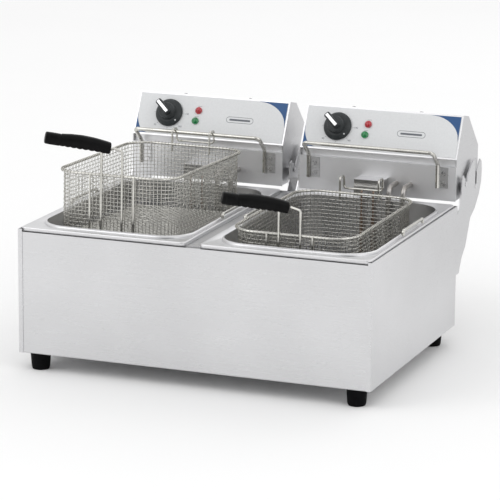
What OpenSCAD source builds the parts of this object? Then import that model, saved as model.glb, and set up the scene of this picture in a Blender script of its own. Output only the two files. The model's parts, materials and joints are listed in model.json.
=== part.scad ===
// Twin-tank countertop deep fryer: one casing with two lift-out tanks,
// two tilting control heads with immersion heaters, and two wire baskets.
// The front is -Y, the user's right is +X and Z = 0 is the worktop.

/* [Casing] */
// Width of the casing, side to side
casing_w = 580; // [560:1:720]
// Depth of the casing, front to back
casing_d = 422; // [400:1:520]
// Height of the casing above the feet
casing_h = 198; // [190:1:260]
// Thickness of the sheet steel
sheet = 1.2; // [0.8:0.1:1.5]
// Width of the flanges that frame the front panel
flange_w = 7; // [5:0.5:12]
// Height of the rubber feet
foot_h = 28; // [15:1:40]
// Diameter of a foot at its top
foot_d = 33; // [26:1:40]
// Distance from the casing's sides to the feet's centres
foot_inset = 28; // [22:1:60]
// Distance from the casing's front to the front feet's centres
foot_front = 20; // [18:1:60]

/* [Tanks] */
// Width of a tank's opening
open_w = 245; // [225:1:255]
// Distance from the casing's front to the opening
open_front = 32; // [28:1:40]
// Distance from the casing's back to the opening
open_back = 20; // [18:1:28]
// Corner radius of the opening
open_r = 45; // [20:1:60]
// Depth of a tank below its rim
tank_depth = 150; // [140:1:170]
// Wall of the pressed tanks
tank_wall = 1; // [0.8:0.1:1.5]
// Gap between the two tank rims
rim_gap = 23; // [12:1:30]
// Gap between a tank rim and the casing's side
rim_margin = 3.5; // [2.5:0.5:6]
// Height of a rim above the casing's top edge
rim_rise = 3; // [2:0.5:6]
// Length of a tank handle
handle_len = 96; // [70:1:130]
// Diameter of the tank handle's wire
handle_d = 5; // [4:0.5:6]
// Height of a tank handle above the rim
handle_rise = 10; // [9:0.5:14]

/* [Heads] */
// Gap between the two heads
head_gap = 30; // [28:1:40]
// Distance from the casing's side to the head's side
head_inset = 6.5; // [6:0.5:10]
// Gap between the casing's back and the head's front plate
head_back = 8; // [6:1:14]
// Depth of a head, front plate to back
head_d = 120; // [110:1:140]
// Height of the head's top edge above its underside
head_h = 135; // [120:1:160]
// Height of the lower front plate
plate_h = 56; // [50:1:64]
// Height of the sloping control panel's lower edge above the underside
panel_low = 68; // [62:1:76]
// How far the control panel leans back
panel_lean = 34; // [24:1:44]
// Depth of the set-back band above the lower plate
band_depth = 8; // [5:1:12]
// Largest tilt of a head, in degrees
head_tilt = 80; // [45:1:85]

/* [Controls] */
// Diameter of the knob's skirt
knob_d = 47; // [40:1:52]
// Thickness of the knob's skirt
knob_skirt = 8; // [5:0.5:10]
// Height of the knob above the panel
knob_h = 25; // [20:1:30]
// Distance from the head's centre to the knob
knob_off = 75; // [60:1:90]
// Radius of the thermostat's spindle
spindle_r = 3; // [2.5:0.1:4]
// Diameter of a signal lamp
lamp_d = 12; // [10:1:16]
// Distance from the knob's centre to the lamps
lamp_off = 50; // [42:1:60]
// Distance between the two lamps
lamp_pitch = 18; // [15:1:24]
// Travel of the reset button
reset_travel = 2.5; // [1.5:0.5:4]

/* [Hinges] */
// Radius of the hinge pins
pin_r = 4; // [3:0.5:5]
// Height of the rear pin above the head's underside
pin_up = 8; // [7:1:14]
// Distance from the head's back to the rear pin
pin_back = 28; // [24:1:34]
// Distance from the rear pin forward to the front pin
pin_span = 55; // [50:1:60]
// Height of the front pin above the rear pin
pin_rise = 15; // [10:1:20]
// Thickness of the bracket plates
bracket_t = 2; // [1.5:0.5:3]

/* [Heater] */
// Radius of the heater's tube
tube_r = 4.2; // [3.5:0.1:5]
// Distance between neighbouring runs of the tube
tube_pitch = 24; // [20:1:28]
// Height of the tube above the tank's floor
tube_up = 26; // [18:1:34]

/* [Hanger] */
// Radius of the basket hanger's bar
bar_r = 3.25; // [2.5:0.25:4]
// Length of the hanger's bar
bar_len = 221; // [180:1:240]
// How far the bar stands out from the lower plate
bar_out = 30; // [26:1:36]
// Height of the bar above the head's underside
bar_up = 83; // [78:1:90]

/* [Baskets] */
// Width of a basket at its rim
basket_w = 202; // [180:1:206]
// Length of a basket at its rim
basket_l = 318; // [280:1:320]
// Height of a basket
basket_h = 105; // [90:1:110]
// Corner radius of a basket
basket_r = 40; // [25:1:50]
// Thickness of the woven wall
mesh_t = 1.6; // [1.2:0.1:2.4]
// Radius of the rim's wire
rim_r = 2; // [1.5:0.25:2.5]
// Radius of the handle's and the hooks' wire
hook_r = 1.75; // [1.5:0.25:2.25]
// Height of the hooks above the rim
hook_up = 24; // [20:1:30]
// Depth of the hooks, front leg to back leg
hook_deep = 21; // [18:1:24]
// Distance between the two hooks
hook_pitch = 66; // [50:1:80]
// Length of the grip
grip_len = 103; // [90:1:130]
// Diameter of the grip
grip_d = 22; // [18:1:26]
// Distance from the casing's front to the lowered basket
basket_front = 48; // [46:1:60]
// Sideways offset of the lowered basket from its tank
low_shift = -8; // [-12:1:12]
// Sideways offset of the hung basket from its tank
hung_shift = -12; // [-14:1:14]
// Upward tilt of the hung basket's front, in degrees
hung_tilt = 1.9; // [0:0.1:2.5]

/* [Hidden] */
$fn = 48;

// Colours
steel = [0.78, 0.79, 0.80];
bright_steel = [0.88, 0.88, 0.89];
inner_steel = [0.70, 0.71, 0.72];
wire_steel = [0.80, 0.80, 0.78];
rubber_black = [0.08, 0.08, 0.09];
plastic_black = [0.10, 0.10, 0.11];
panel_white = [0.92, 0.93, 0.94];
lamp_red = [0.75, 0.05, 0.08];
lamp_green = [0.05, 0.55, 0.20];
ceramic_white = [0.88, 0.86, 0.80];
copper = [0.72, 0.45, 0.30];

// Fits and clearances
pin_play = 0.08;
spindle_play = 0.08;
plunger_play = 0.1;
swing_play = 0.8;
hang_gap = 0.4;
panel_gap = 0.3;
weld_gap = 0.02;
tank_play = 2;
hole_play = 0.1;
elbow_lap = 0.3;
elbow_swell = 1.03;
e = 0.01;

// Sides: the user's left and right
left = -1;
right = 1;

// Levels, measured from the worktop
base_z = foot_h;
top_z = base_z + casing_h;
rim_z = top_z + rim_rise;
rim_skirt = 6;
deck_z = rim_z - rim_skirt;
floor_z = rim_z - tank_depth;

// Tanks and heads share one centre line on each side
rim_w = casing_w / 2 - rim_margin - rim_gap / 2;
rim_front = 2;
rim_back = 2.5;
rim_d = casing_d - rim_front - rim_back;
rim_r0 = 8;
tank_x = rim_gap / 2 + rim_w / 2;
open_d = casing_d - open_front - open_back;
head_w = casing_w / 2 - head_inset - head_gap / 2;
head_x = head_gap / 2 + head_w / 2;
head_y = casing_d + head_back;
head_z = rim_z + 2;
head_end = head_y + head_d;

// Side outline of a head, from the panel's lower edge over the top
panel_y = head_y + 2;
panel_h = head_h - panel_low;
top_run = 28;
top_drop = 6;
back_h = 72;
head_outline = [
    [panel_y, head_z + panel_low],
    [panel_y + panel_lean, head_z + head_h],
    [panel_y + panel_lean + top_run, head_z + head_h - top_drop],
    [head_end, head_z + back_h],
    [head_end, head_z + sheet],
    [head_y + sheet, head_z + sheet],
    [head_y + sheet, head_z + panel_low - sheet],
    [panel_y, head_z + panel_low - sheet]
];
panel_len = norm([panel_lean, panel_h]);
panel_angle = atan2(panel_h, panel_lean);
film_t = 0.8;
film_border = 3;

// Hinge pins
rear_pin = [head_end - pin_back, head_z + pin_up];
front_pin = [rear_pin[0] - pin_span, rear_pin[1] + pin_rise];
pin_reach = norm([pin_span, pin_rise]);
bracket_x = casing_w / 2 - 0.5 - bracket_t;
centre_x = 7;
bracket_foot = 83;

// Hanger bar
bar_y = head_y - bar_out;
bar_z = head_z + bar_up;
bar_shift = -6.5;
bar_bend = 7;
leg_y = head_y - bar_r - 0.2;
leg_top = head_z + plate_h + 4;
leg_low = head_z + 21;
tab_w = 15;
tab_t = 1.5;
tab_h = 34;
rivet_r = 2.4;

// Heater: five runs and a return, ending in two legs behind the basket
tube_z = floor_z + tube_up;
bend_r = tube_pitch / 2;
run_x = [for (i = [0 : 4]) 33 - i * tube_pitch];
return_x = 33 + tube_pitch;
run_front = open_front + 84;
cross_front = open_front + 52;
run_back = casing_d - open_back - 76;
riser_y = casing_d - open_back - tube_r - 3.2;
riser_top = head_z + 22;
guard_x0 = -28;
guard_x1 = 20;
guard_h = 26;
guard_low = 3;
guard_front = riser_y + 3;

// Control panel furniture, measured up the slope
knob_up = panel_len * 0.53;
lamp_mid = panel_len * 0.51;
lamp_slant = 3;

// Baskets
rim_level = rim_z + 15.5;
basket_rear = basket_front + basket_l;
hung_z = bar_z + bar_r + hang_gap + hook_r - hook_up;
hung_rear = bar_y - bar_r - 9;
upright_x = [-37, -17.5, 17.5, 37];
wire_bend = 5;
leg_rise = 44;
grip_turn = 30;
grip_lift = 10;
grip_fwd = 12;
grip_side = -4;

// The footprint's middle, so that the origin sits under the centre of the whole
gland_len = 18;
grip_tip = basket_front - grip_fwd - grip_len * cos(grip_lift) * sin(grip_turn) - grip_d * 0.45;
mid_y = (grip_tip + head_end + gland_len) / 2;

// ---------------------------------------------------------------- helpers

// Moves a piece from the casing's front edge to the object's own origin
module at_origin() {
    translate([0, -mid_y, 0]) children();
}

// Rectangle with true round corners, centred
module round_rect(w, d, r) {
    square([w - 2 * r, d], center = true);
    square([w, d - 2 * r], center = true);
    for (x = [-1, 1], y = [-1, 1]) {
        translate([x * (w / 2 - r), y * (d / 2 - r)]) circle(r);
    }
}

// Straight round bar from a to b
module rod(a, b, r) {
    v = b - a;
    translate(a)
        rotate([0, acos(v[2] / norm(v)), atan2(v[1], v[0])])
            cylinder(h = norm(v), r = r);
}

// Distance from a corner to where its bend starts
function bend_cut(a, b, c, bend) =
    bend * tan(acos((b - a) * (c - b) / (norm(b - a) * norm(c - b))) / 2);

// Round wire through a list of points, with true bends of one radius
module wire(points, r, bend) {
    last = len(points) - 1;
    for (i = [0 : last - 1]) {
        a = points[i];
        b = points[i + 1];
        u = (b - a) / norm(b - a);
        cut_a = i == 0 ? 0 : bend_cut(points[i - 1], a, b, bend) - elbow_lap;
        cut_b = i == last - 1 ? 0 : bend_cut(a, b, points[i + 2], bend) - elbow_lap;
        rod(a + u * cut_a, b - u * cut_b, r);
    }
    for (i = [1 : last - 1]) {
        elbow(points[i - 1], points[i], points[i + 1], r, bend);
    }
}

// Part of a ring that joins the wires a-b and b-c
module elbow(a, b, c, r, bend) {
    u = (b - a) / norm(b - a);
    v = (c - b) / norm(c - b);
    side = cross(u, cross(u, v) / norm(cross(u, v)));
    turn = atan2(side[1], side[0]);
    pitch = -asin(side[2]);
    across = [-sin(turn), cos(turn), 0];
    upward = [sin(pitch) * cos(turn), sin(pitch) * sin(turn), cos(pitch)];
    translate(b - u * bend_cut(a, b, c, bend) - side * bend)
        rotate([atan2(u * upward, u * across), pitch, turn])
            rotate_extrude(angle = acos(u * v)) translate([bend, 0]) circle(r * elbow_swell);
}

// A side outline in Y and Z, given a width along X
module side_extrude(width) {
    translate([-width / 2, 0, 0])
        rotate([90, 0, 90])
            linear_extrude(width) children();
}

// Moves every edge of an outline inwards by d, keeping mitred corners
function inward(p, d) = [
    for (i = [0 : len(p) - 1])
        let (a = p[(i + len(p) - 1) % len(p)])
        let (b = p[i])
        let (c = p[(i + 1) % len(p)])
        let (u = (b - a) / norm(b - a))
        let (v = (c - b) / norm(c - b))
        let (n1 = [u[1], -u[0]])
        let (n2 = [v[1], -v[0]])
        b + d * (n1 + n2) / (1 + n1 * n2)
];

// Puts a piece on a head's own centre line
module on_head(side) {
    at_origin() translate([side * head_x, 0, 0]) children();
}

// Frame on the sloping panel: X across, Y up the slope, Z out of the panel
module on_panel(side) {
    on_head(side)
        translate([0, panel_y, head_z + panel_low])
            rotate([panel_angle, 0, 0]) children();
}

// Pan-head screw pointing down from its seat at Z = 0
module screw(r, length) {
    translate([0, 0, -length]) cylinder(h = length + e, r = r);
    cylinder(h = r * 0.9, r = r * 1.9);
}

// ---------------------------------------------------------------- casing

foot_x = casing_w / 2 - foot_inset;
foot_rows = [foot_front, casing_d - 32];
fold_d = 14;
screw_r = 2.5;
screw_len = 16;

// Sides and back, folded from one sheet, with flanges at the front
module casing_shell() {
    color(steel) at_origin() {
        difference() {
            translate([-casing_w / 2, 0, base_z]) cube([casing_w, casing_d, casing_h]);
            translate([-casing_w / 2 + sheet, sheet, base_z - e])
                cube([casing_w - 2 * sheet, casing_d - 2 * sheet, casing_h + 2 * e]);
            translate([-casing_w / 2 + flange_w, -e, base_z - e])
                cube([casing_w - 2 * flange_w, sheet + 2 * e, casing_h + 2 * e]);
            for (x = bracket_screw_x, z = bracket_screw_z) {
                translate([x, casing_d + e, z])
                    rotate([90, 0, 0]) cylinder(h = sheet + 2 * e, r = screw_r + hole_play);
            }
        }
        for (s = [-1, 1]) {
            translate([s * (casing_w / 2 - sheet - 6), casing_d / 2, deck_z - 2 * sheet])
                cube([12, casing_d - 60, sheet], center = true);
        }
    }
}

// Plain front sheet behind the flanges, folded back along its top
module front_panel() {
    width = casing_w - 2 * sheet - 2 * panel_gap;
    top = deck_z - sheet - panel_gap;
    color(steel) at_origin() {
        translate([-width / 2, sheet, base_z + sheet])
            cube([width, sheet, top - base_z - sheet]);
        translate([-width / 2, sheet, top - sheet])
            cube([width, fold_d, sheet]);
    }
}

// Floor of the casing, with the feet's screw holes and rows of air slots
module bottom_plate() {
    width = casing_w - 2 * sheet - 2 * panel_gap;
    depth = casing_d - 2 * sheet - panel_gap;
    color(inner_steel) at_origin() difference() {
        translate([-width / 2, sheet + panel_gap, base_z]) cube([width, depth - panel_gap, sheet]);
        for (s = [-1, 1], y = foot_rows) {
            translate([s * foot_x, y, base_z - e])
                cylinder(h = sheet + 2 * e, r = screw_r + hole_play);
        }
        for (s = [-1, 1], i = [0 : 7]) {
            translate([s * tank_x - 60, casing_d / 2 - 70 + 20 * i, base_z - e])
                cube([120, 6, sheet + 2 * e]);
        }
    }
}

// Top sheet that carries both tanks, with a hole for each
module top_deck() {
    width = casing_w - 2 * sheet - 2 * panel_gap;
    front = sheet + fold_d / 2;
    color(inner_steel) at_origin() difference() {
        translate([-width / 2, front, deck_z - sheet])
            cube([width, casing_d - sheet - panel_gap - front, sheet]);
        for (s = [-1, 1]) {
            translate([s * tank_x, open_front + open_d / 2, deck_z - sheet - e])
                linear_extrude(sheet + 2 * e)
                    round_rect(open_w + 2 * tank_wall + 2 * tank_play,
                        open_d + 2 * tank_wall + 2 * tank_play, open_r);
        }
    }
}

// Tapered rubber feet
module feet() {
    color(rubber_black) at_origin() {
        for (s = [-1, 1], y = foot_rows) {
            translate([s * foot_x, y, 0]) difference() {
                cylinder(h = foot_h, r1 = foot_d * 0.42, r2 = foot_d / 2);
                translate([0, 0, foot_h - screw_len + sheet - 2])
                    cylinder(h = screw_len + 2, r = screw_r + hole_play);
            }
        }
    }
}

bracket_screw_z = [base_z + 100, base_z + 160];
bracket_screw_x = [-casing_w / 2 + 14, 0, casing_w / 2 - 14];

// Screws that hold the feet and the brackets
module case_screws() {
    color(bright_steel) at_origin() {
        for (s = [-1, 1], y = foot_rows) {
            translate([s * foot_x, y, base_z + sheet]) screw(screw_r, screw_len);
        }
        for (x = bracket_screw_x, z = bracket_screw_z) {
            translate([x, casing_d + bracket_t, z])
                rotate([-90, 0, 0]) screw(screw_r, 9);
        }
    }
}

// ---------------------------------------------------------------- tanks

// Pressed tank: flat rim with a turned-down edge, round-cornered well
module tank(side) {
    color(bright_steel) at_origin() translate([side * tank_x, 0, 0]) difference() {
        union() {
            translate([0, rim_front + rim_d / 2, deck_z])
                linear_extrude(rim_skirt) round_rect(rim_w, rim_d, rim_r0);
            translate([0, open_front + open_d / 2, floor_z - tank_wall])
                linear_extrude(tank_depth)
                    round_rect(open_w + 2 * tank_wall, open_d + 2 * tank_wall, open_r + tank_wall);
        }
        translate([0, open_front + open_d / 2, floor_z])
            linear_extrude(tank_depth + 1) round_rect(open_w, open_d, open_r);
        translate([0, rim_front + rim_d / 2, deck_z - e]) linear_extrude(rim_skirt - tank_wall + e)
            difference() {
                round_rect(rim_w - 2 * tank_wall, rim_d - 2 * tank_wall, rim_r0 - tank_wall);
                translate([0, open_front + open_d / 2 - rim_front - rim_d / 2])
                    round_rect(open_w + 2 * tank_wall, open_d + 2 * tank_wall, open_r + tank_wall);
            }
    }
}

handle_x = (rim_w - open_w) / 4 + open_w / 2;
handle_y = casing_d * 0.53;

// Low wire handles welded to the sides of both rims
module tank_handles() {
    color(wire_steel) at_origin() {
        for (s = [-1, 1], t = [-1, 1]) {
            x = s * tank_x + t * handle_x;
            wire([[x, handle_y - handle_len / 2, rim_z],
                [x, handle_y - handle_len / 2, rim_z + handle_rise - handle_d / 2],
                [x, handle_y + handle_len / 2, rim_z + handle_rise - handle_d / 2],
                [x, handle_y + handle_len / 2, rim_z]], handle_d / 2, handle_d * 0.8);
        }
    }
}

// ---------------------------------------------------------------- brackets

slot_r = pin_r + pin_play;
swing_r = pin_r + swing_play;

// Way of the front pin about the rear pin, over the head's whole tilt
module swing_slot() {
    start = 180 - atan2(pin_rise, pin_span);
    intersection() {
        difference() {
            circle(pin_reach + swing_r);
            circle(pin_reach - swing_r);
        }
        polygon([[0, 0], for (i = [0 : 4]) let (a = start - i * head_tilt / 4) 120 * [cos(a), sin(a)]]);
    }
}

// Side outline of a bracket plate, with the two pin slots
module bracket_outline() {
    low = base_z + bracket_foot;
    difference() {
        polygon([
            [casing_d, low], [casing_d + 18, low], [casing_d + 22, low + 9],
            [casing_d + 32, low + 24], [casing_d + 50, low + 38],
            [rear_pin[0] - 26, rear_pin[1] - 47], [rear_pin[0] - 2, rear_pin[1] - 36],
            [rear_pin[0] + 20, rear_pin[1] - 16], [rear_pin[0] + 31, rear_pin[1] + 4],
            [rear_pin[0] + 33, rear_pin[1] + 22], [rear_pin[0] + 30, rear_pin[1] + 37],
            [rear_pin[0] + 22, rear_pin[1] + 42], [rear_pin[0] + slot_r, rear_pin[1] + 24],
            [rear_pin[0] - slot_r, rear_pin[1] + 46], [rear_pin[0] - 18, rear_pin[1] + 46],
            [front_pin[0] + 12, front_pin[1] + 14], [front_pin[0] - 6, front_pin[1] + 8],
            [front_pin[0] - 12, front_pin[1] + 16], [front_pin[0] - 19, front_pin[1] + 13],
            [front_pin[0] - 23, front_pin[1] - 14], [casing_d + 6, rim_z - 14], [casing_d, rim_z - 20]
        ]);
        translate(rear_pin) {
            circle(slot_r);
            translate([-slot_r, 0]) square([2 * slot_r, 90]);
            swing_slot();
        }
        translate(front_pin) circle(swing_r);
    }
}

// Outer plate with a folded foot that is screwed to the casing's back
module outer_bracket(side) {
    foot_w = 24;
    color(steel) at_origin() {
        translate([side * (bracket_x + bracket_t / 2), 0, 0])
            side_extrude(bracket_t) bracket_outline();
        difference() {
            translate([side * (bracket_x + bracket_t / 2 - foot_w / 2 + bracket_t / 2) - foot_w / 2,
                    casing_d, base_z + bracket_foot])
                cube([foot_w, bracket_t, rim_z - 24 - base_z - bracket_foot]);
            for (z = bracket_screw_z) {
                translate([side * bracket_screw_x[2], casing_d - e, z])
                    rotate([-90, 0, 0]) cylinder(h = bracket_t + 2 * e, r = screw_r + hole_play);
            }
        }
    }
}

// Channel between the heads: two plates joined by a web on the casing's back
module centre_bracket() {
    color(steel) at_origin() {
        for (s = [-1, 1]) {
            translate([s * (centre_x + bracket_t / 2), 0, 0])
                side_extrude(bracket_t) bracket_outline();
        }
        difference() {
            translate([-centre_x - bracket_t, casing_d, base_z + bracket_foot])
                cube([2 * (centre_x + bracket_t), bracket_t, rim_z - 24 - base_z - bracket_foot]);
            for (z = bracket_screw_z) {
                translate([0, casing_d - e, z])
                    rotate([-90, 0, 0]) cylinder(h = bracket_t + 2 * e, r = screw_r + hole_play);
            }
        }
        translate([-centre_x - bracket_t, front_pin[0] - 21, front_pin[1] - 34])
            cube([2 * (centre_x + bracket_t), bracket_t, 24]);
    }
}

// ---------------------------------------------------------------- heads

gland_r = 4.75;
gland_z = head_z + 34;
gland_off = 80;
reset_r = 5;
reset_off = -70;
reset_z = head_z + 40;
boss_r = 5;
ridge_screw_x = [-58, 58];

// Folded hood: control slope, top, back and both cheeks in one shell
module head_shell(side) {
    color(steel) difference() {
        on_head(side) difference() {
            side_extrude(head_w) polygon(head_outline);
            side_extrude(head_w - 2 * sheet) {
                polygon(inward(head_outline, sheet));
                polygon([[head_y, head_z], [head_end - sheet, head_z],
                    [head_end - sheet, head_z + 4 * sheet], [head_y, head_z + 4 * sheet]]);
                polygon([[head_y, head_z], [head_y + 4 * sheet, head_z],
                    [head_y + 4 * sheet, head_z + panel_low], [head_y, head_z + panel_low]]);
            }
            translate([gland_off, head_end + e, gland_z])
                rotate([90, 0, 0]) cylinder(h = sheet + 2 * e, r = gland_r + 3 + hole_play);
            translate([reset_off, head_end + e, reset_z])
                rotate([90, 0, 0]) cylinder(h = sheet + 2 * e, r = reset_r + 2 + hole_play);
            for (x = ridge_screw_x) {
                translate([x, panel_y + panel_lean + top_run / 2, head_z + head_h - top_drop])
                    cylinder(h = 12, r = 1.7, center = true);
            }
            for (s = [-1, 1], p = [rear_pin, front_pin]) {
                translate([s * head_w / 2, p[0], p[1]])
                    rotate([0, 90, 0]) cylinder(h = 4 * sheet, r = pin_r, center = true);
            }
        }
        on_panel(side) {
            translate([-knob_off, knob_up, -5]) cylinder(h = 10, r = boss_r);
            for (i = [-0.5, 0.5]) {
                translate([lamp_off - knob_off + i * lamp_slant, lamp_mid + i * lamp_pitch, -5])
                    cylinder(h = 10, r = lamp_d / 2 - 1);
            }
        }
    }
}

// Underside of the head, folded up at its back
module head_base(side) {
    width = head_w - 2 * sheet - 2 * panel_gap;
    back = head_end - sheet - panel_gap;
    color(inner_steel) on_head(side) difference() {
        union() {
            translate([-width / 2, head_y + sheet, head_z + sheet])
                cube([width, back - head_y - sheet, sheet]);
            translate([-width / 2, back - sheet, head_z + sheet]) cube([width, sheet, 10]);
        }
        for (x = [-1, 1], y = [head_y + 14, head_end - 14]) {
            translate([x * (head_w / 2 - 16), y, head_z]) cylinder(h = 4 * sheet, r = 1.7);
        }
        for (x = [-1, 1]) {
            translate([x * (head_w / 2 - sheet - nut_t / 2), rear_pin[0], rear_pin[1]])
                cube([nut_t + 2 * hole_play, 2 * nut_r, 2 * (nut_r + hole_play)], center = true);
        }
    }
}

// Lower front plate with the set-back band above it
module front_plate(side) {
    color(bright_steel) on_head(side) difference() {
        union() {
            translate([-head_w / 2, head_y, head_z]) cube([head_w, sheet, plate_h]);
            translate([-head_w / 2 + sheet + panel_gap, head_y, head_z + plate_h - sheet])
                cube([head_w - 2 * sheet - 2 * panel_gap, band_depth + sheet, sheet]);
            translate([-head_w / 2 + sheet + panel_gap, head_y + band_depth, head_z + plate_h - sheet])
                cube([head_w - 2 * sheet - 2 * panel_gap, sheet, panel_low - plate_h - 0.2]);
        }
        for (x = [run_x[0], return_x]) {
            translate([x, head_y - e, riser_top])
                rotate([-90, 0, 0]) cylinder(h = sheet + 2 * e, r = tube_r + hole_play);
        }
        for (x = probe_x) {
            translate([x, head_y - e, probe_z])
                rotate([-90, 0, 0]) cylinder(h = sheet + 2 * e, r = probe_lead_r + hole_play);
        }
        for (x = tab_x, z = rivet_z) {
            translate([x, head_y - e, z])
                rotate([-90, 0, 0]) cylinder(h = sheet + 2 * e, r = rivet_r);
        }
    }
}

// Printed control panel laid on the slope
module control_panel(side) {
    color(panel_white) on_panel(side) difference() {
        translate([-head_w / 2 + film_border, film_border, 0])
            cube([head_w - 2 * film_border, panel_len - 2 * film_border, film_t]);
        translate([-knob_off, knob_up, -e]) cylinder(h = film_t + 2 * e, r = boss_r);
        for (i = [-0.5, 0.5]) {
            translate([lamp_off - knob_off + i * lamp_slant, lamp_mid + i * lamp_pitch, -e])
                cylinder(h = film_t + 2 * e, r = lamp_d / 2 - 1);
        }
    }
}

nut_t = 4;
nut_r = pin_r + 1.2;

// Two studs in each cheek, riding in the bracket slots
module hinge_pins(side) {
    color(bright_steel) at_origin() {
        for (p = [rear_pin, front_pin]) {
            translate([side * (head_x + head_w / 2 - sheet - nut_t), p[0], p[1]])
                rotate([0, side * 90, 0]) stud(casing_w / 2 - head_x - head_w / 2 + sheet + nut_t);
            translate([side * (head_x - head_w / 2 + sheet + nut_t), p[0], p[1]])
                rotate([0, -side * 90, 0]) stud(head_gap / 2 - centre_x + 1 + sheet + nut_t);
        }
    }
}

// One stud: nut inside the cheek, plain shank outside
module stud(length) {
    cylinder(h = nut_t, r = nut_r);
    cylinder(h = length, r = pin_r);
}

tab_x = [bar_shift - bar_len / 2 + 10, bar_shift + bar_len / 2 + 10];
rivet_z = [head_z + 28, head_z + 45];

// Basket hanger: a bar on two arms with straight legs
module hanger_bar(side) {
    x0 = bar_shift - bar_len / 2;
    x1 = bar_shift + bar_len / 2;
    color(wire_steel) on_head(side)
        wire([[x0, leg_y, leg_low], [x0, leg_y, leg_top], [x0, bar_y, bar_z],
            [x1, bar_y, bar_z], [x1, leg_y, leg_top], [x1, leg_y, leg_low]], bar_r, bar_bend);
}

// Small plates welded to the hanger's legs
module hanger_brackets(side) {
    color(steel) on_head(side) {
        for (x = tab_x) {
            difference() {
                translate([x - tab_w / 2 + 0.5, head_y - tab_t, leg_low]) cube([tab_w, tab_t, tab_h]);
                for (z = rivet_z) {
                    translate([x, head_y + e, z]) rotate([90, 0, 0]) cylinder(h = 3, r = rivet_r);
                }
            }
        }
    }
}

// Rivets that hold the hanger's plates
module hanger_rivets(side) {
    color(bright_steel) on_head(side) {
        for (x = tab_x, z = rivet_z) {
            translate([x, head_y + sheet + 1, z]) rotate([90, 0, 0]) {
                cylinder(h = tab_t + sheet + 1.2, r = rivet_r);
                translate([0, 0, tab_t + sheet + 1]) cylinder(h = 1.4, r = rivet_r * 1.7);
                cylinder(h = 1, r = rivet_r * 1.5);
            }
        }
    }
}

// Half turn of tube in the plane of the runs; dir is +1 for the front turns
module half_turn(x, y, dir) {
    translate([x, y, tube_z])
        rotate(dir > 0 ? 180 : 0)
            rotate_extrude(angle = 180) translate([bend_r, 0]) circle(tube_r);
}

// Quarter turn of tube in a plane across X, from along +Y to along +Z
module rise_turn(x, y, z, start) {
    translate([x, y, z])
        rotate([90, 0, 90])
            rotate_extrude(angle = 90, start = start) translate([bend_r, 0]) circle(tube_r);
}

// Tubular heater on the tank's floor, with two risers into the head
module heater(side) {
    last = run_x[4];
    color(inner_steel) on_head(side) {
        for (i = [0 : 4]) {
            front = i == 4 ? cross_front + bend_r : run_front;
            back = i == 0 ? riser_y - bend_r : run_back;
            rod([run_x[i], front, tube_z], [run_x[i], back, tube_z], tube_r);
        }
        rod([return_x, cross_front + bend_r, tube_z], [return_x, riser_y - bend_r, tube_z], tube_r);
        half_turn((run_x[0] + run_x[1]) / 2, run_front, 1);
        half_turn((run_x[1] + run_x[2]) / 2, run_back, -1);
        half_turn((run_x[2] + run_x[3]) / 2, run_front, 1);
        half_turn((run_x[3] + run_x[4]) / 2, run_back, -1);
        translate([last + bend_r, cross_front + bend_r, tube_z])
            rotate_extrude(angle = 90, start = 180) translate([bend_r, 0]) circle(tube_r);
        translate([return_x - bend_r, cross_front + bend_r, tube_z])
            rotate_extrude(angle = 90, start = 270) translate([bend_r, 0]) circle(tube_r);
        rod([last + bend_r, cross_front, tube_z], [return_x - bend_r, cross_front, tube_z], tube_r);
        for (x = [run_x[0], return_x]) {
            rise_turn(x, riser_y - bend_r, tube_z + bend_r, 270);
            rod([x, riser_y, tube_z + bend_r], [x, riser_y, riser_top - bend_r], tube_r);
            rise_turn(x, riser_y + bend_r, riser_top - bend_r, 90);
            rod([x, riser_y + bend_r, riser_top], [x, head_y + 18, riser_top], tube_r);
        }
    }
}

// Bent sheet neck beside the risers, and the comb that ties the runs
module heater_guard(side) {
    neck = head_y - guard_front;
    comb_y = (run_front + run_back) / 2;
    comb_x = [last_run_x - tube_r - 3, return_x + tube_r + 3];
    color(inner_steel) on_head(side) {
        translate([guard_x0, guard_front, head_z + guard_low + guard_h])
            cube([guard_x1 - guard_x0, neck, sheet]);
        for (x = [guard_x0, guard_x1 - sheet]) {
            translate([x, guard_front, head_z + guard_low]) cube([sheet, neck, guard_h + e]);
        }
        difference() {
            translate([guard_x0, guard_front, head_z + guard_low])
                cube([guard_x1 - guard_x0, sheet, guard_h + e]);
            translate([probe_x[0] - lead_room, guard_front - e, head_z + guard_low - e])
                cube([probe_x[1] - probe_x[0] + 2 * lead_room, sheet + 2 * e,
                    probe_z + lead_room - head_z - guard_low]);
        }
        for (y = [comb_y - 60, comb_y + 60]) {
            translate([comb_x[0], y, tube_z + tube_r]) cube([comb_x[1] - comb_x[0], 8, 1.5]);
        }
    }
}

last_run_x = run_x[4];
probe_x = [guard_x0 + 14, guard_x0 + 34];
probe_z = head_z + 14;
probe_r = 3;
probe_lead_r = 1.6;
lead_room = probe_lead_r + 0.8;
probe_low = tube_z + 24;

// Sensing bulbs of the thermostat and the limiter, on stiff leads
module probes(side) {
    color(copper) on_head(side) {
        for (x = probe_x) {
            wire([[x, head_y + 12, probe_z], [x, riser_y + 1, probe_z], [x, riser_y + 1, probe_low + 70]],
                probe_lead_r, 6);
            translate([x, riser_y + 1, probe_low]) cylinder(h = 71, r = probe_r);
        }
    }
}

// Control thermostat behind the panel, with its spindle
module thermostat(side) {
    color(ceramic_white) on_panel(side) translate([-knob_off, knob_up, 0]) {
        translate([-19, -16, -30]) cube([38, 32, 30 - sheet - 0.2]);
        translate([0, 0, -sheet - 1]) cylinder(h = sheet + 1 + film_t + 14, r = spindle_r);
    }
}

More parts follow.
